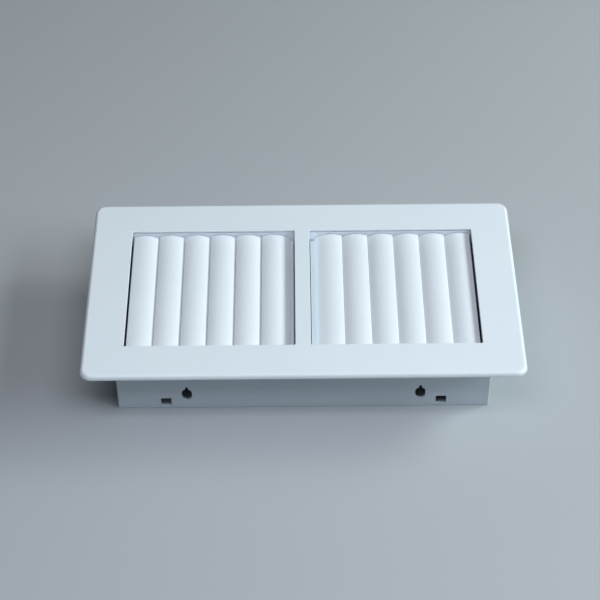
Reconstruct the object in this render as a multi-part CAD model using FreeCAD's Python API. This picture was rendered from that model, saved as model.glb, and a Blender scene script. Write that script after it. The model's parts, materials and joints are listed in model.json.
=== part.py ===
import FreeCAD, Part
import math
import os

# Two-bank louvred air grille with a rectangular duct neck.
# Millimetres. +X runs along the face's long side, +Y across it, +Z out of the face.
# The origin is the centre of the neck's open end, and the front face is at FACE_Z.
# The right bank of blades is the mirror image of the left bank.

# Face frame
FACE_WIDTH = 350.0
FACE_DEPTH = 200.0
FACE_Z = 64.0
FACE_CORNER_RADIUS = 9.0
FACE_EDGE_RADIUS = 3.0
PLATE_THICKNESS = 1.5
RIM_HEIGHT = 4.0
RIM_WIDTH = 5.0
BORDER_X = 32.9
BORDER_Y = 33.5
MULLION_WIDTH = 12.5
WINDOW_CORNER_RADIUS = 1.0
WINDOW_EDGE_RADIUS = 0.5
MULLION_WALL = 1.5
MULLION_WEB_PITCH = 33.0
STIFFENER_WIDTH = 1.5
STIFFENER_PITCH_X = 45.0
STIFFENER_PITCH_Y = 50.0

# Duct neck
NECK_WIDTH = 300.0
NECK_DEPTH = 150.0
NECK_WALL = 2.0
NECK_OUTER_RADIUS = 1.2
NECK_INNER_RADIUS = 0.5
NECK_LIP_CHAMFER = 0.3
KEYHOLE_X = 94.0
KEYHOLE_WIDTH = 8.2
KEYHOLE_BOTTOM = 9.3
KEYHOLE_TOP = 21.6
KEYHOLE_NOTCH_WIDTH = 2.4
KEYHOLE_NOTCH_TOP = 24.2
CLIP_WINDOW_X = 111.0
CLIP_WINDOW_SIDE = 8.5
CLIP_WINDOW_BOTTOM = 3.0
CLIP_WINDOW_RADIUS = 0.4

# Ribs on the back of the face that take the neck's top edge
SOCKET_RIB = 2.2
SOCKET_RIB_HEIGHT = 11.0
INNER_RIB = 1.5
INNER_RIB_HEIGHT = 8.0
INNER_RIB_HALF_LENGTH = 60.0

# Blades
BLADES_PER_BANK = 6
BLADE_PITCH = 21.5
FIRST_PIVOT_X = 20.4
PIVOT_DEPTH = 9.5
BLADE_RADIUS = 22.0
BLADE_THICKNESS = 1.5
FREE_SIDE_CHORD = 13.8
TUCKED_SIDE_CHORD = 9.6
CROWN_HEIGHT = 4.8
CLOSED_TILT = 13.5
BLADE_END_Y = 66.0
LIP_START_X = 8.9
LIP_END_X = 13.4
LIP_TOP_Z = -2.1
LIP_THICKNESS = 1.2
LIP_STEP_WIDTH = 1.1
LIP_STEP_TOP_Z = -0.2
WEB_THICKNESS = 1.5
HUB_RADIUS = 3.6
SHOULDER_RADIUS = 3.0
SHOULDER_GAP = 0.3
PIN_RADIUS = 2.0
PIN_TIP_Y = 71.0
PIN_CHAMFER = 0.5

# Cranks on the blades' front pins, and tie bars
CRANK_X = 8.0
CRANK_Z = -9.0
CRANK_GAP = 0.3
CRANK_THICKNESS = 1.5
CRANK_END_RADIUS = 2.8
CRANK_PIN_RADIUS = 1.25
CRANK_PIN_LENGTH = 2.5
DRIVE_SIDE = 2.6
BAR_THICKNESS = 1.8
BAR_HEIGHT = 5.0
BAR_GAP = 0.3
BAR_END_MARGIN = 4.0
BAR_PIVOT_CLEARANCE = 0.05
BAR_FREE_CLEARANCE = 0.3
DRIVEN_BLADE = 3

# Pivot rails
RAIL_FACE_Y = 66.8
RAIL_INNER_X = 3.0
RAIL_OUTER_X = 146.0
RAIL_HEIGHT = 13.6
RAIL_WEB = 1.5
RAIL_SKIN = 1.5
PIVOT_BOSS_RADIUS = 4.0
PIVOT_CLEARANCE = 0.05
PIVOT_HOLE_END_Y = 71.5
SCREW_BOSS_RADIUS = 3.2

# Rail screws
SCREWS_PER_RAIL = 3
SCREW_RADIUS = 1.45
SCREW_CLEARANCE = 0.05
SCREW_HEAD_RADIUS = 2.8
SCREW_LENGTH = 9.2
SCREW_TIP_LENGTH = 1.2
SCREW_TIP_RADIUS = 0.4
SCREW_HOLE_EXTRA = 0.3
RECESS_WIDTH = 0.7
RECESS_SPAN = 3.0
RECESS_DEPTH = 0.6

# Worked out from the dimensions above
V = FreeCAD.Vector
PLATE_Z = FACE_Z - PLATE_THICKNESS
RIM_Z = FACE_Z - RIM_HEIGHT
WINDOW_OUTER_X = FACE_WIDTH / 2 - BORDER_X
WINDOW_INNER_X = MULLION_WIDTH / 2
WINDOW_HALF_Y = FACE_DEPTH / 2 - BORDER_Y
NECK_INNER_Y = NECK_DEPTH / 2 - NECK_WALL
NECK_INNER_X = NECK_WIDTH / 2 - NECK_WALL
SOCKET_OUTER_Y = NECK_DEPTH / 2 + SOCKET_RIB
PIVOT_Z = FACE_Z - PIVOT_DEPTH
RAIL_BOTTOM_Z = PIVOT_Z - RAIL_HEIGHT / 2
RAIL_TOP_Z = PIVOT_Z + RAIL_HEIGHT / 2
CRANK_REAR_Y = -(RAIL_FACE_Y + RAIL_WEB + CRANK_GAP)
CRANK_FRONT_Y = CRANK_REAR_Y - CRANK_THICKNESS
BAR_REAR_Y = CRANK_FRONT_Y - BAR_GAP
BAR_FRONT_Y = BAR_REAR_Y - BAR_THICKNESS
SCREW_HEAD_DEPTH = SCREW_HEAD_RADIUS - SCREW_RADIUS


def box(x_low, x_high, y_low, y_high, z_low, z_high):
    """Block between six limits."""
    corner = V(x_low, y_low, z_low)
    return Part.makeBox(x_high - x_low, y_high - y_low, z_high - z_low, corner)


def rod(radius, x, z, y_low, y_high):
    """Round bar along Y."""
    return Part.makeCylinder(radius, y_high - y_low, V(x, y_low, z), V(0, 1, 0))


def rounded_block(width, depth, radius, z_low, z_high):
    """Block centred on the Z axis with rounded upright corners."""
    block = box(-width / 2, width / 2, -depth / 2, depth / 2, z_low, z_high)
    return round_upright_edges(block, radius)


def round_upright_edges(block, radius):
    """Fillet the edges of a block that run along Z."""
    height = block.BoundBox.ZLength
    upright = [edge for edge in block.Edges if abs(edge.BoundBox.ZLength - height) < 1e-6]
    return block.makeFillet(radius, upright)


def edges_at_height(shape, z):
    """Edges that lie wholly in the plane at height z."""
    flat = [edge for edge in shape.Edges if edge.BoundBox.ZLength < 1e-6]
    return [edge for edge in flat if abs(edge.BoundBox.ZMin - z) < 1e-6]


def mirror_x(shape):
    """Mirror image across the plane x = 0."""
    return shape.mirror(V(0, 0, 0), V(1, 0, 0))


def mirror_y(shape):
    """Mirror image across the plane y = 0."""
    return shape.mirror(V(0, 0, 0), V(0, 1, 0))


def left_pivots():
    """Pivot positions of the left bank, from the outer side to the mullion."""
    order = range(BLADES_PER_BANK - 1, -1, -1)
    return [-(FIRST_PIVOT_X + BLADE_PITCH * step) for step in order]


def screw_positions():
    """Screw positions of a left rail: midway between two pivots, two pitches apart."""
    first = left_pivots()[0] + BLADE_PITCH / 2
    return [first + 2 * BLADE_PITCH * step for step in range(SCREWS_PER_RAIL)]


def all_screw_positions():
    """Screw positions of both banks along X."""
    left = screw_positions()
    return left + [-x for x in left]


def screw_holes():
    """Countersunk clearance holes through the socket rib and the neck's rear wall."""
    radius = SCREW_RADIUS + SCREW_CLEARANCE
    mouth = SCREW_HEAD_RADIUS + SCREW_CLEARANCE
    tools = []
    for x in all_screw_positions():
        tools.append(rod(radius, x, PIVOT_Z, NECK_INNER_Y - 1, SOCKET_OUTER_Y + 1))
        start = V(x, SOCKET_OUTER_Y, PIVOT_Z)
        tools.append(Part.makeCone(mouth, radius, mouth - radius, start, V(0, -1, 0)))
    rear = Part.makeCompound(tools)
    return [rear, mirror_y(rear)]


def face_blank():
    """Face plate with a turned-down rim and a rolled outer edge."""
    blank = rounded_block(FACE_WIDTH, FACE_DEPTH, FACE_CORNER_RADIUS, RIM_Z, FACE_Z)
    blank = blank.makeFillet(FACE_EDGE_RADIUS, edges_at_height(blank, FACE_Z))
    width = FACE_WIDTH - 2 * RIM_WIDTH
    depth = FACE_DEPTH - 2 * RIM_WIDTH
    radius = FACE_CORNER_RADIUS - RIM_WIDTH
    return blank.cut(rounded_block(width, depth, radius, RIM_Z, PLATE_Z))


def window_cutter():
    """Left window as a solid that reaches below the plate."""
    low = PLATE_Z - 1
    block = box(-WINDOW_OUTER_X, -WINDOW_INNER_X, -WINDOW_HALF_Y, WINDOW_HALF_Y, low, FACE_Z)
    return round_upright_edges(block, WINDOW_CORNER_RADIUS)


def socket_ribs():
    """Ribs that hold the neck: one loop outside it and a short one inside each end."""
    low = PLATE_Z - SOCKET_RIB_HEIGHT
    width = NECK_WIDTH + 2 * SOCKET_RIB
    depth = NECK_DEPTH + 2 * SOCKET_RIB
    loop = rounded_block(width, depth, NECK_OUTER_RADIUS + SOCKET_RIB, low, PLATE_Z)
    loop = loop.cut(rounded_block(NECK_WIDTH, NECK_DEPTH, NECK_OUTER_RADIUS, low, PLATE_Z))
    half = INNER_RIB_HALF_LENGTH
    low = PLATE_Z - INNER_RIB_HEIGHT
    inner = box(-NECK_INNER_X, INNER_RIB - NECK_INNER_X, -half, half, low, PLATE_Z)
    return [loop, inner, mirror_x(inner)]


def mullion_ribs():
    """Deep walls under the mullion's two edges, tied together by cross webs."""
    low = RAIL_BOTTOM_Z
    inner = WINDOW_INNER_X - MULLION_WALL
    wall = box(inner, WINDOW_INNER_X, -WINDOW_HALF_Y, WINDOW_HALF_Y, low, PLATE_Z)
    half = MULLION_WALL / 2
    ribs = [wall, mirror_x(wall)]
    for step in (-1, 0, 1):
        y = step * MULLION_WEB_PITCH
        ribs.append(box(-inner, inner, y - half, y + half, PIVOT_Z, PLATE_Z))
    return ribs


def stiffeners():
    """Shallow ribs on the back, from the socket loop out to the rim."""
    half = STIFFENER_WIDTH / 2
    ribs = []
    for step in (-3, -2, -1, 0, 1, 2, 3):
        x = step * STIFFENER_PITCH_X
        rib = box(x - half, x + half, SOCKET_OUTER_Y, FACE_DEPTH / 2 - RIM_WIDTH, RIM_Z, PLATE_Z)
        ribs += [rib, mirror_y(rib)]
    for step in (-1, 0, 1):
        y = step * STIFFENER_PITCH_Y
        low = NECK_WIDTH / 2 + SOCKET_RIB
        rib = box(low, FACE_WIDTH / 2 - RIM_WIDTH, y - half, y + half, RIM_Z, PLATE_Z)
        ribs += [rib, mirror_x(rib)]
    return ribs


def face_frame():
    """Face plate, windows, mullion and every rib on its back, as one moulding."""
    window = window_cutter()
    frame = face_blank().cut([window, mirror_x(window)])
    inside = [edge for edge in edges_at_height(frame, FACE_Z)
              if abs(edge.CenterOfMass.x) < WINDOW_OUTER_X + 1
              and abs(edge.CenterOfMass.y) < WINDOW_HALF_Y + 1]
    frame = frame.makeFillet(WINDOW_EDGE_RADIUS, inside)
    frame = frame.fuse(socket_ribs() + mullion_ribs() + stiffeners())
    return frame.cut(screw_holes()).removeSplitter()


def keyhole():
    """Cutter along Y for one keyhole: an upright slot with a narrow notch above it."""
    half = KEYHOLE_WIDTH / 2
    outer = NECK_DEPTH / 2 + 1
    inner = NECK_INNER_Y - 1
    low = rod(half, KEYHOLE_X, KEYHOLE_BOTTOM + half, inner, outer)
    high = rod(half, KEYHOLE_X, KEYHOLE_TOP - half, inner, outer)
    sides = (KEYHOLE_X - half, KEYHOLE_X + half)
    middle = box(*sides, inner, outer, KEYHOLE_BOTTOM + half, KEYHOLE_TOP - half)
    notch_half = KEYHOLE_NOTCH_WIDTH / 2
    notch_end = KEYHOLE_NOTCH_TOP - notch_half
    tip = rod(notch_half, KEYHOLE_X, notch_end, inner, outer)
    sides = (KEYHOLE_X - notch_half, KEYHOLE_X + notch_half)
    notch = box(*sides, inner, outer, KEYHOLE_TOP - half, notch_end)
    return low.fuse([high, middle, tip, notch])


def clip_window():
    """Cutter along Y for one square window near the neck's open end."""
    half = CLIP_WINDOW_SIDE / 2
    top = CLIP_WINDOW_BOTTOM + CLIP_WINDOW_SIDE
    sides = (CLIP_WINDOW_X - half, CLIP_WINDOW_X + half)
    block = box(*sides, NECK_INNER_Y - 1, NECK_DEPTH / 2 + 1, CLIP_WINDOW_BOTTOM, top)
    across = [edge for edge in block.Edges if edge.BoundBox.YLength > NECK_WALL]
    return block.makeFillet(CLIP_WINDOW_RADIUS, across)


def duct_collar():
    """Neck: a rectangular tube with keyholes and square windows in both long walls."""
    outer = rounded_block(NECK_WIDTH, NECK_DEPTH, NECK_OUTER_RADIUS, 0, PLATE_Z)
    outer = outer.makeChamfer(NECK_LIP_CHAMFER, edges_at_height(outer, 0))
    hollow = rounded_block(2 * NECK_INNER_X, 2 * NECK_INNER_Y, NECK_INNER_RADIUS, -1, PLATE_Z + 1)
    rear_right = Part.makeCompound([keyhole(), clip_window()])
    rear = Part.makeCompound([rear_right, mirror_x(rear_right)])
    return outer.cut([hollow, rear, mirror_y(rear)] + screw_holes())


def rail_shell(bottom_z):
    """Left rail at the neck's rear wall: a channel open to the wall, hollow down to bottom_z."""
    limits = (-RAIL_OUTER_X, -RAIL_INNER_X, RAIL_FACE_Y, NECK_INNER_Y)
    rail = box(*limits, RAIL_BOTTOM_Z, RAIL_TOP_Z)
    x_limits = (RAIL_SKIN - RAIL_OUTER_X, -RAIL_INNER_X - RAIL_SKIN)
    y_limits = (RAIL_FACE_Y + RAIL_WEB, NECK_INNER_Y)
    return rail.cut(box(*x_limits, *y_limits, bottom_z, RAIL_TOP_Z - RAIL_SKIN))


def rail_with_holes(rail, bosses, pivot_hole_end):
    """Left rail with screw bosses and other bosses added, and its holes cut."""
    web_y = RAIL_FACE_Y + RAIL_WEB
    screws = [rod(SCREW_BOSS_RADIUS, x, PIVOT_Z, web_y, NECK_INNER_Y) for x in screw_positions()]
    rail = rail.fuse(screws + bosses)
    bore = PIN_RADIUS + PIVOT_CLEARANCE
    holes = [rod(bore, x, PIVOT_Z, RAIL_FACE_Y - 1, pivot_hole_end) for x in left_pivots()]
    screw_end = SOCKET_OUTER_Y - SCREW_LENGTH - SCREW_HOLE_EXTRA
    thread = SCREW_RADIUS + SCREW_CLEARANCE
    holes += [rod(thread, x, PIVOT_Z, screw_end, NECK_INNER_Y + 1) for x in screw_positions()]
    return rail.cut(holes).removeSplitter()


def rear_rail():
    """Left rear rail, with a blind bearing for each blade's rear pin."""
    web_y = RAIL_FACE_Y + RAIL_WEB
    bosses = [rod(PIVOT_BOSS_RADIUS, x, PIVOT_Z, web_y, NECK_INNER_Y) for x in left_pivots()]
    return rail_with_holes(rail_shell(RAIL_BOTTOM_Z + RAIL_SKIN), bosses, PIVOT_HOLE_END_Y)


def front_rail():
    """Left front rail: pins pass through its web to the cranks, so it is open below."""
    through = RAIL_FACE_Y + RAIL_WEB + 1
    return mirror_y(rail_with_holes(rail_shell(RAIL_BOTTOM_Z), [], through))


def rail_screw(x):
    """Countersunk self-tapping screw in the rear wall, its head flush with the socket rib."""
    inward = V(0, -1, 0)
    head = Part.makeCone(SCREW_HEAD_RADIUS, SCREW_RADIUS, SCREW_HEAD_DEPTH,
                         V(x, SOCKET_OUTER_Y, PIVOT_Z), inward)
    shank_y = SOCKET_OUTER_Y - SCREW_HEAD_DEPTH
    shank_length = SCREW_LENGTH - SCREW_HEAD_DEPTH - SCREW_TIP_LENGTH
    shank = Part.makeCylinder(SCREW_RADIUS, shank_length, V(x, shank_y, PIVOT_Z), inward)
    tip = Part.makeCone(SCREW_RADIUS, SCREW_TIP_RADIUS, SCREW_TIP_LENGTH,
                        V(x, shank_y - shank_length, PIVOT_Z), inward)
    screw = head.fuse([shank, tip])
    across = RECESS_SPAN / 2
    thin = RECESS_WIDTH / 2
    y_limits = (SOCKET_OUTER_Y - RECESS_DEPTH, SOCKET_OUTER_Y + 1)
    level = box(x - across, x + across, *y_limits, PIVOT_Z - thin, PIVOT_Z + thin)
    upright = box(x - thin, x + thin, *y_limits, PIVOT_Z - across, PIVOT_Z + across)
    return screw.cut([level, upright]).removeSplitter()


def rail_screws():
    """All the rail screws as one group of separate solids."""
    rear = [rail_screw(x) for x in all_screw_positions()]
    return Part.makeCompound(rear + [mirror_y(screw) for screw in rear])


def on_blade_circle(radius, angle):
    """Point of the blade's section, at an angle from the section's axis of symmetry."""
    centre_z = CROWN_HEIGHT - BLADE_RADIUS
    return V(radius * math.sin(angle), 0, centre_z + radius * math.cos(angle))


def blade_shell():
    """Curved strip of even thickness with half-round long edges, about its pivot."""
    inner = BLADE_RADIUS - BLADE_THICKNESS
    middle = BLADE_RADIUS - BLADE_THICKNESS / 2
    free_tip = -math.asin(FREE_SIDE_CHORD / BLADE_RADIUS)
    tucked_tip = math.asin(TUCKED_SIDE_CHORD / BLADE_RADIUS)
    rounding = BLADE_THICKNESS / 2 / middle
    free_outer = on_blade_circle(BLADE_RADIUS, free_tip + rounding)
    free_inner = on_blade_circle(inner, free_tip + rounding)
    tucked_outer = on_blade_circle(BLADE_RADIUS, tucked_tip - rounding)
    tucked_inner = on_blade_circle(inner, tucked_tip - rounding)
    arcs = [
        Part.Arc(free_outer, on_blade_circle(BLADE_RADIUS, 0), tucked_outer),
        Part.Arc(tucked_outer, on_blade_circle(middle, tucked_tip), tucked_inner),
        Part.Arc(tucked_inner, on_blade_circle(inner, 0), free_inner),
        Part.Arc(free_inner, on_blade_circle(middle, free_tip), free_outer),
    ]
    section = Part.Face(Part.Wire([arc.toShape() for arc in arcs]))
    section.translate(V(0, -BLADE_END_Y, 0))
    return section.extrude(V(0, 2 * BLADE_END_Y, 0))


def blade_lip():
    """Stepped-down flat lip, in the closed position, that lies under the next blade's edge."""
    y_limits = (-BLADE_END_Y, BLADE_END_Y)
    low = LIP_TOP_Z - LIP_THICKNESS
    half = LIP_THICKNESS / 2
    step_end = LIP_START_X + LIP_STEP_WIDTH
    step = box(LIP_START_X, step_end, *y_limits, low, LIP_STEP_TOP_Z)
    flat = box(LIP_START_X, LIP_END_X - half, *y_limits, low, LIP_TOP_Z)
    return step.fuse([flat, rod(half, LIP_END_X - half, low + half, *y_limits)])


def end_web(y_low):
    """Web that ties the pivot hub to the underside of the shell."""
    hub = rod(HUB_RADIUS, 0, 0, y_low, y_low + WEB_THICKNESS)
    top = CROWN_HEIGHT - BLADE_THICKNESS / 2
    neck = box(-HUB_RADIUS, HUB_RADIUS, y_low, y_low + WEB_THICKNESS, 0, top - 0.3)
    return hub.fuse(neck)


def rear_pin():
    """Rear pivot pin with its shoulder."""
    start = BLADE_END_Y - WEB_THICKNESS
    pin = rod(PIN_RADIUS, 0, 0, start, PIN_TIP_Y)
    tip = [edge for edge in pin.Edges if edge.BoundBox.YMin > PIN_TIP_Y - 0.01]
    pin = pin.makeChamfer(PIN_CHAMFER, tip)
    return pin.fuse(rod(SHOULDER_RADIUS, 0, 0, start, RAIL_FACE_Y - SHOULDER_GAP))


def front_pin():
    """Front pivot pin with its shoulder and a square end that drives the crank."""
    end = WEB_THICKNESS - BLADE_END_Y
    pin = rod(PIN_RADIUS, 0, 0, CRANK_REAR_Y, end)
    half = DRIVE_SIDE / 2
    drive = box(-half, half, CRANK_FRONT_Y, CRANK_REAR_Y, -half, half)
    return pin.fuse([drive, rod(SHOULDER_RADIUS, 0, 0, SHOULDER_GAP - RAIL_FACE_Y, end)])


def left_blade():
    """Blade of the left bank in its closed position, with its pivot on the Y axis."""
    shell = blade_shell().fuse([end_web(-BLADE_END_Y), end_web(BLADE_END_Y - WEB_THICKNESS)])
    shell.rotate(V(0, 0, 0), V(0, 1, 0), CLOSED_TILT)
    return shell.fuse([blade_lip(), front_pin(), rear_pin()]).removeSplitter()


def left_crank():
    """Crank plate with a square bore for the blade's pin and a pin for the tie bar."""
    y_limits = (CRANK_FRONT_Y, CRANK_REAR_Y)
    hub = rod(HUB_RADIUS, 0, 0, *y_limits)
    end = rod(CRANK_END_RADIUS, CRANK_X, CRANK_Z, *y_limits)
    throw = math.hypot(CRANK_X, CRANK_Z)
    across = V(-CRANK_Z / throw, 0, CRANK_X / throw)
    centre = V(CRANK_X, 0, CRANK_Z)
    corners = [across * HUB_RADIUS, centre + across * CRANK_END_RADIUS,
               centre - across * CRANK_END_RADIUS, across * -HUB_RADIUS]
    outline = Part.Face(Part.makePolygon(corners + corners[:1]))
    outline.translate(V(0, CRANK_FRONT_Y, 0))
    arm = outline.extrude(V(0, CRANK_THICKNESS, 0))
    half = DRIVE_SIDE / 2
    plate = hub.fuse([end, arm]).cut(box(-half, half, *y_limits, -half, half))
    pin_tip = CRANK_FRONT_Y - CRANK_PIN_LENGTH
    return plate.fuse(rod(CRANK_PIN_RADIUS, CRANK_X, CRANK_Z, pin_tip, CRANK_FRONT_Y)).removeSplitter()


def left_tie_bar():
    """Bar that links the six crank pins of the left bank."""
    crank_z = PIVOT_Z + CRANK_Z
    pins = [x + CRANK_X for x in left_pivots()]
    half = BAR_HEIGHT / 2
    low_x = pins[0] - BAR_END_MARGIN + half
    high_x = pins[-1] + BAR_END_MARGIN - half
    bar = box(low_x, high_x, BAR_FRONT_Y, BAR_REAR_Y, crank_z - half, crank_z + half)
    ends = [rod(half, x, crank_z, BAR_FRONT_Y, BAR_REAR_Y) for x in (low_x, high_x)]
    bar = bar.fuse(ends).removeSplitter()
    holes = []
    for number, x in enumerate(pins, start=1):
        snug = number == DRIVEN_BLADE
        clearance = BAR_PIVOT_CLEARANCE if snug else BAR_FREE_CLEARANCE
        radius = CRANK_PIN_RADIUS + clearance
        holes.append(rod(radius, x, crank_z, BAR_FRONT_Y - 1, BAR_REAR_Y + 1))
    return bar.cut(holes)


def rail_nodes():
    """The four pivot rails."""
    left_rear = rear_rail()
    left_front = front_rail()
    return {
        "left_rear_rail": left_rear,
        "left_front_rail": left_front,
        "right_rear_rail": mirror_x(left_rear),
        "right_front_rail": mirror_x(left_front),
    }


def bank_nodes(piece, left_shape):
    """One piece at every pivot, numbered from left to right in each bank."""
    nodes = {}
    right_shape = mirror_x(left_shape)
    for number, x in enumerate(left_pivots(), start=1):
        nodes[f"left_{piece}_{number}"] = left_shape.translated(V(x, 0, PIVOT_Z))
        right_number = BLADES_PER_BANK + 1 - number
        nodes[f"right_{piece}_{right_number}"] = right_shape.translated(V(-x, 0, PIVOT_Z))
    return nodes


def all_nodes():
    """Every sub-part of the grille by name."""
    tie_bar = left_tie_bar()
    nodes = {
        "face_frame": face_frame(),
        "duct_collar": duct_collar(),
        "rail_screws": rail_screws(),
        "left_tie_bar": tie_bar,
        "right_tie_bar": mirror_x(tie_bar),
    }
    nodes.update(rail_nodes())
    nodes.update(bank_nodes("blade", left_blade()))
    nodes.update(bank_nodes("crank", left_crank()))
    return nodes


os.makedirs("parts", exist_ok=True)
for node, shape in all_nodes().items():
    shape.exportStep(f"parts/{node}.step")
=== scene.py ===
import json
import math

import bpy
from mathutils import Matrix, Vector

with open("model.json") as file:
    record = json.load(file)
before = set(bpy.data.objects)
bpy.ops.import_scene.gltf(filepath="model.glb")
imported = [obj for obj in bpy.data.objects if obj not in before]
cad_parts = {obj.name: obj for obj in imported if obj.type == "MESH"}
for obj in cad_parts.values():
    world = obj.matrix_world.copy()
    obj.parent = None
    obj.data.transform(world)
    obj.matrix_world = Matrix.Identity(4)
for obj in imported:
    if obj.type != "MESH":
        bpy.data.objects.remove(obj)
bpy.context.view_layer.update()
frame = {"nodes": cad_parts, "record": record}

# Lengths are in metres, unless a name says otherwise. Colours are linear RGB.

# Camera: above and in front of the grille, looking down at its face
CAMERA_AZIMUTH = math.radians(-0.18)
CAMERA_ELEVATION = math.radians(44.8)
CAMERA_ROLL = math.radians(-0.40)
CAMERA_TARGET = Vector((-0.00217, -0.0168, 0.064))
CAMERA_DISTANCE = 1.5004
CAMERA_LENS_MM = 111.25
SENSOR_MM = 36.0

# Lights: position, size, power in watts, colour and the axis that the second side follows
LIGHT_TARGET = (0, 0, 0.05)
ALONG_DEPTH = (0, 1, 0)
UPRIGHT = (0, 0, 1)
LIGHTS = {
    "key": ((1.95, -0.2, 1.42), (0.8, 2.3), 44, (0.80, 0.925, 0.985), ALONG_DEPTH),
    "front": ((0, -0.75, 1.6), (1.6, 0.6), 16.2, (0.84, 0.865, 0.97), UPRIGHT),
    "back": ((1.9, 0.8, 1.2), (0.8, 0.8), 13.5, (0.98, 1.0, 0.86), ALONG_DEPTH),
    "top": ((0, 0, 1.7), (1.2, 1.2), 1.2, (1.0, 0.95, 0.90), ALONG_DEPTH),
}
WORLD_COLOUR = (0.86, 0.93, 1.0)
WORLD_STRENGTH = 0.01

# Colours, and how the other white mouldings differ from the face: the neck's tint is painted shade
# and the rail's tint is painted light, both on the same white plastic
WHITE = (0.80, 0.865, 0.905)
# Painted shade: the neck is the face's white darkened to stand for the shade under the face's
# overhang
NECK_PAINTED_SHADE_TINT = (0.79, 0.81, 0.835)
BLADE_TINT = (1.03, 1.01, 1.0)
# Painted light: the rail is the face's white lightened to stand for the light that reaches it behind
# the blades
RAIL_PAINTED_LIGHT_TINT = (1.07, 1.05, 1.06)
LINKAGE_GREY = (0.42, 0.44, 0.46)
ZINC = (0.58, 0.59, 0.57)

# In the materials below, NOISE is (repeats per metre, detail, roughness), BAND is the stretch of
# noise values over which a layer goes from least to most, and SHARE is the most of it that shows.

# Moulded plastic
PLASTIC_IOR = 1.5
EDGE_RADIUS = 0.00025
CLOUD_NOISE = (14.0, 4.0, 0.55)
CLOUD_BAND = (0.35, 0.65)
CLOUD_TINT = (0.978, 0.985, 0.992)
STREAK_NOISE = (60.0, 4.0, 0.6)
STREAK_BAND = (0.5, 0.75)
STREAK_SHARE = 0.35
STREAK_SHADE = 0.96
DUST_NOISE = (900.0, 5.0, 0.7)
DUST_BAND = (0.66, 0.76)
DUST_SHARE = 0.25
DUST_TINT = (0.86, 0.84, 0.80)
DUST_ROUGHNESS = 0.15
RUB_NOISE = (120.0, 3.0, 0.5)
RUB_BAND = (0.4, 0.65)
RUB_SHARE = 0.5
RUB_SHADE = 1.05
RUB_POLISH = 0.10
SMEAR_NOISE = (34.0, 5.0, 0.6)
SMEAR_BAND = (0.3, 0.7)
SMEAR_SPREAD = 0.05
WAVE_NOISE = (22.0, 1.0, 0.4)
WAVE_DEPTH = 0.00025
WAVE_STRENGTH = 0.25
GRAIN_DETAIL = 2.0
GRAIN_ROUGHNESS = 0.5
GRAIN_DEPTH = 0.00001
GRAIN_STRENGTH = 0.6

# Zinc plating
ZINC_EDGE_RADIUS = 0.0001
ZINC_CLOUD_NOISE = (500.0, 4.0, 0.6)
ZINC_CLOUD_BAND = (0.35, 0.65)
ZINC_YELLOW = (1.0, 0.95, 0.80)
# Painted highlight: the zinc colour is lightened along the edges
ZINC_EDGE_HIGHLIGHT_SHARE = 0.6
ZINC_EDGE_HIGHLIGHT_SHADE = 1.3
ZINC_ROUGHNESS = (0.26, 0.42)
MARK_NOISE = (3000.0, 2.0, 0.5)
MARK_STRETCH = (1.0, 0.05, 1.0)
MARK_DEPTH = 0.00001
MARK_STRENGTH = 0.5

# Floor
FLOOR_HALF = 6.0
FLOOR_DROP = 0.00005
FLOOR_COLOUR = (0.45, 0.475, 0.49)
FLOOR_CLOUD_NOISE = (1.3, 4.0, 0.5)
FLOOR_CLOUD_BAND = (0.3, 0.7)
FLOOR_CLOUD_SHADE = 0.97
FLOOR_PATCH_NOISE = (40.0, 4.0, 0.5)
FLOOR_PATCH_BAND = (0.3, 0.7)
FLOOR_ROUGHNESS = (0.72, 0.82)
FLOOR_GRAIN_NOISE = (700.0, 3.0, 0.5)
FLOOR_GRAIN_DEPTH = 0.00005
FLOOR_GRAIN_STRENGTH = 0.3

# Edge finding: rays of the bevel node, and the agreement of the true and rounded normals, which
# is 1 on a flat face and falls towards an edge
BEVEL_SAMPLES = 6
EDGE_BAND = (1.0, 0.8)

# Places of the colour sockets on a Mix node
MIX_FIRST = 6
MIX_SECOND = 7
MIX_RESULT = 2


def shade(colour, factor):
    """Colour made darker or lighter."""
    return tuple(channel * factor for channel in colour)


def tinted(colour, tint):
    """Colour multiplied by another one, channel by channel."""
    return tuple(channel * part for channel, part in zip(colour, tint))


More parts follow.
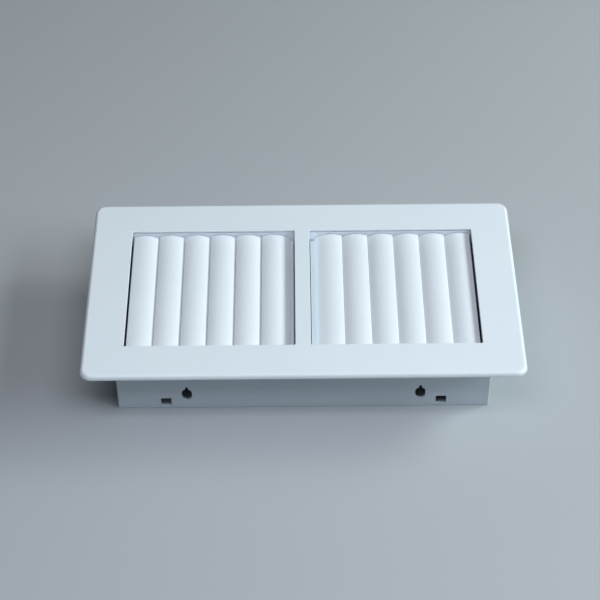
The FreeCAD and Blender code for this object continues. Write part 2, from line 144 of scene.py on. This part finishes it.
class Nodes:
    """Short calls for building one material's node tree."""

    def __init__(self, name):
        self.material = bpy.data.materials.new(name)
        self.material.use_nodes = True
        self.tree = self.material.node_tree
        self.shader = self.tree.nodes["Principled BSDF"]
        self.place = self.node("ShaderNodeTexCoord").outputs["Object"]

    def node(self, kind, **settings):
        made = self.tree.nodes.new(kind)
        for key, value in settings.items():
            setattr(made, key, value)
        return made

    def link(self, source, target):
        self.tree.links.new(source, target)

    def feed(self, target, value):
        """Link a socket, or set a plain value or colour."""
        if isinstance(value, bpy.types.NodeSocket):
            self.link(value, target)
        elif isinstance(value, tuple):
            target.default_value = (*value, 1.0)
        else:
            target.default_value = value

    def stretched(self, scale):
        """Object coordinates scaled differently along each axis."""
        mapping = self.node("ShaderNodeMapping")
        mapping.inputs["Scale"].default_value = scale
        self.link(self.place, mapping.inputs["Vector"])
        return mapping.outputs["Vector"]

    def noise(self, setting, place=None):
        """Noise value at the object's coordinates, or at the given ones."""
        per_metre, detail, roughness = setting
        made = self.node("ShaderNodeTexNoise")
        made.inputs["Scale"].default_value = per_metre
        made.inputs["Detail"].default_value = detail
        made.inputs["Roughness"].default_value = roughness
        self.link(place or self.place, made.inputs["Vector"])
        return made.outputs[0]

    def span(self, value, band, low=0.0, high=1.0):
        """Clamped linear map of a band of values."""
        made = self.node("ShaderNodeMapRange")
        self.link(value, made.inputs["Value"])
        made.inputs["From Min"].default_value, made.inputs["From Max"].default_value = band
        made.inputs["To Min"].default_value = low
        made.inputs["To Max"].default_value = high
        return made.outputs["Result"]

    def combine(self, operation, first, second):
        """Two values added, subtracted or multiplied."""
        made = self.node("ShaderNodeMath", operation=operation)
        self.feed(made.inputs[0], first)
        self.feed(made.inputs[1], second)
        return made.outputs[0]

    def mix(self, share, first, second):
        """First colour with a share of the second one laid over it."""
        made = self.node("ShaderNodeMix", data_type="RGBA")
        self.feed(made.inputs["Factor"], share)
        self.feed(made.inputs[MIX_FIRST], first)
        self.feed(made.inputs[MIX_SECOND], second)
        return made.outputs[MIX_RESULT]

    def edges(self, radius):
        """Rounded normal near sharp edges, and how strongly each point lies on an edge."""
        bevel = self.node("ShaderNodeBevel", samples=BEVEL_SAMPLES)
        bevel.inputs["Radius"].default_value = radius
        geometry = self.node("ShaderNodeNewGeometry")
        agreement = self.node("ShaderNodeVectorMath", operation="DOT_PRODUCT")
        self.link(bevel.outputs["Normal"], agreement.inputs[0])
        self.link(geometry.outputs["Normal"], agreement.inputs[1])
        return bevel.outputs["Normal"], self.span(agreement.outputs["Value"], EDGE_BAND)

    def bump(self, height, depth, strength, normal):
        """Normal with a fine relief added."""
        made = self.node("ShaderNodeBump")
        made.inputs["Distance"].default_value = depth
        made.inputs["Strength"].default_value = strength
        self.link(height, made.inputs["Height"])
        self.link(normal, made.inputs["Normal"])
        return made.outputs["Normal"]


def moulded(name, colour, roughness, flow, grain):
    """Satin moulded plastic: cloudy tone, flow along the piece, fine grain, dust and rubbed edges."""
    n = Nodes(name)
    normal, edge = n.edges(EDGE_RADIUS)
    cloud = n.noise(CLOUD_NOISE)
    tone = n.mix(n.span(cloud, CLOUD_BAND), tinted(colour, CLOUD_TINT), colour)
    streak = n.noise(STREAK_NOISE, n.stretched(flow))
    tone = n.mix(n.span(streak, STREAK_BAND, 0.0, STREAK_SHARE), tone, shade(colour, STREAK_SHADE))
    speck = n.noise(DUST_NOISE)
    dust = n.span(speck, DUST_BAND)
    tone = n.mix(n.combine("MULTIPLY", dust, DUST_SHARE), tone, tinted(colour, DUST_TINT))
    patchy = n.span(n.noise(RUB_NOISE), RUB_BAND, 0.0, RUB_SHARE)
    rubbed = n.combine("MULTIPLY", edge, patchy)
    tone = n.mix(rubbed, tone, shade(colour, RUB_SHADE))
    n.link(tone, n.shader.inputs["Base Color"])
    low, high = roughness - SMEAR_SPREAD, roughness + SMEAR_SPREAD
    smear = n.span(n.noise(SMEAR_NOISE), SMEAR_BAND, low, high)
    smear = n.combine("ADD", smear, n.combine("MULTIPLY", dust, DUST_ROUGHNESS))
    smear = n.combine("SUBTRACT", smear, n.combine("MULTIPLY", rubbed, RUB_POLISH))
    n.link(smear, n.shader.inputs["Roughness"])
    n.shader.inputs["IOR"].default_value = PLASTIC_IOR
    wave = n.noise(WAVE_NOISE, n.stretched(flow))
    normal = n.bump(wave, WAVE_DEPTH, WAVE_STRENGTH, normal)
    fine = n.noise((grain, GRAIN_DETAIL, GRAIN_ROUGHNESS))
    normal = n.bump(fine, GRAIN_DEPTH, GRAIN_STRENGTH, normal)
    n.link(normal, n.shader.inputs["Normal"])
    return n.material


def plated(name, colour):
    """Zinc-plated steel with fine marks along the screws, a faint yellow cast and a painted highlight
    along the edges.
    """
    n = Nodes(name)
    normal, edge = n.edges(ZINC_EDGE_RADIUS)
    cloud = n.span(n.noise(ZINC_CLOUD_NOISE), ZINC_CLOUD_BAND)
    tone = n.mix(cloud, colour, tinted(colour, ZINC_YELLOW))
    # Painted highlight: edges lighter than the rest of the zinc
    painted_edge_highlight = shade(colour, ZINC_EDGE_HIGHLIGHT_SHADE)
    tone = n.mix(n.combine("MULTIPLY", edge, ZINC_EDGE_HIGHLIGHT_SHARE), tone, painted_edge_highlight)
    n.link(tone, n.shader.inputs["Base Color"])
    n.shader.inputs["Metallic"].default_value = 1.0
    n.link(n.span(cloud, (0.0, 1.0), *ZINC_ROUGHNESS), n.shader.inputs["Roughness"])
    marks = n.noise(MARK_NOISE, n.stretched(MARK_STRETCH))
    n.link(n.bump(marks, MARK_DEPTH, MARK_STRENGTH, normal), n.shader.inputs["Normal"])
    return n.material


def matte_floor():
    """Pale painted board."""
    n = Nodes("floor")
    cloud = n.span(n.noise(FLOOR_CLOUD_NOISE), FLOOR_CLOUD_BAND)
    tone = n.mix(cloud, shade(FLOOR_COLOUR, FLOOR_CLOUD_SHADE), FLOOR_COLOUR)
    n.link(tone, n.shader.inputs["Base Color"])
    patches = n.span(n.noise(FLOOR_PATCH_NOISE), FLOOR_PATCH_BAND, *FLOOR_ROUGHNESS)
    n.link(patches, n.shader.inputs["Roughness"])
    flat = n.node("ShaderNodeNewGeometry").outputs["Normal"]
    relief = n.bump(n.noise(FLOOR_GRAIN_NOISE), FLOOR_GRAIN_DEPTH, FLOOR_GRAIN_STRENGTH, flat)
    n.link(relief, n.shader.inputs["Normal"])
    return n.material


# Coordinate scales that draw the streaks out along the piece
ALONG_X = (0.25, 1.0, 1.0)
ALONG_Y = (1.0, 0.12, 1.0)

# Colour, roughness, flow direction and grain per metre of each moulding
MOULDINGS = {
    "white_face": (WHITE, 0.46, ALONG_X, 1900.0),
    # The neck's colour is darkened with painted shade
    "white_neck": (tinted(WHITE, NECK_PAINTED_SHADE_TINT), 0.42, ALONG_X, 1500.0),
    "white_blade": (tinted(WHITE, BLADE_TINT), 0.42, ALONG_Y, 2100.0),
    # The rail's colour is lightened with painted light
    "white_rail": (tinted(WHITE, RAIL_PAINTED_LIGHT_TINT), 0.45, ALONG_X, 1500.0),
    "grey_linkage": (LINKAGE_GREY, 0.5, ALONG_X, 1800.0),
}
MATERIALS = {name: moulded(name, *finish) for name, finish in MOULDINGS.items()}
MATERIALS["zinc_screw"] = plated("zinc_screw", ZINC)


def dress_nodes():
    """Give each CAD node the material of its slot in the record."""
    for part in frame["record"]["subparts"]:
        mesh = frame["nodes"][part["node"]].data
        material = MATERIALS[part["material_slot"]]
        if not mesh.materials:
            mesh.materials.append(material)
        for index in range(len(mesh.materials)):
            mesh.materials[index] = material


def add_floor():
    """Plain pale floor under the neck's open end."""
    mesh = bpy.data.meshes.new("floor")
    corners = [(x * FLOOR_HALF, y * FLOOR_HALF, 0) for x, y in ((-1, -1), (1, -1), (1, 1), (-1, 1))]
    mesh.from_pydata(corners, [], [(0, 1, 2, 3)])
    mesh.materials.append(matte_floor())
    floor = bpy.data.objects.new("floor", mesh)
    floor.location.z = -FLOOR_DROP
    bpy.context.scene.collection.objects.link(floor)


def facing(position, target, long_axis):
    """Placement of a light at a point, aimed at another, with its second side near an axis."""
    back = (Vector(position) - Vector(target)).normalized()
    side = Vector(long_axis).cross(back).normalized()
    matrix = Matrix((side, back.cross(side), back)).transposed().to_4x4()
    matrix.translation = Vector(position)
    return matrix


def area_light(name, position, size, power, colour, long_axis):
    """Soft rectangular light aimed at the grille."""
    light = bpy.data.lights.new(name, "AREA")
    light.shape = "RECTANGLE"
    light.size, light.size_y = size
    light.energy = power
    light.color = colour
    lamp = bpy.data.objects.new(name, light)
    lamp.matrix_world = facing(position, LIGHT_TARGET, long_axis)
    bpy.context.scene.collection.objects.link(lamp)


def add_world():
    """Even, faint light from all round."""
    world = bpy.data.worlds.new("studio")
    world.use_nodes = True
    background = world.node_tree.nodes["Background"]
    background.inputs["Color"].default_value = (*WORLD_COLOUR, 1)
    background.inputs["Strength"].default_value = WORLD_STRENGTH
    bpy.context.scene.world = world


def add_camera():
    """Camera at its distance from the target, turned by azimuth, elevation and roll."""
    a, e, r = CAMERA_AZIMUTH, CAMERA_ELEVATION, CAMERA_ROLL
    back = Vector((math.sin(a) * math.cos(e), -math.cos(a) * math.cos(e), math.sin(e)))
    right = Vector((math.cos(a), math.sin(a), 0))
    up = back.cross(right)
    camera_x = math.cos(r) * right + math.sin(r) * up
    camera_y = math.cos(r) * up - math.sin(r) * right
    data = bpy.data.cameras.new("camera")
    data.lens = CAMERA_LENS_MM
    data.sensor_width = SENSOR_MM
    camera = bpy.data.objects.new("camera", data)
    rotation = Matrix((camera_x, camera_y, back)).transposed().to_4x4()
    camera.matrix_world = Matrix.Translation(CAMERA_TARGET + back * CAMERA_DISTANCE) @ rotation
    bpy.context.scene.collection.objects.link(camera)
    bpy.context.scene.camera = camera


dress_nodes()
add_floor()
add_world()
for light_name, settings in LIGHTS.items():
    area_light(light_name, *settings)
add_camera()
bpy.context.scene.view_settings.view_transform = "Standard"
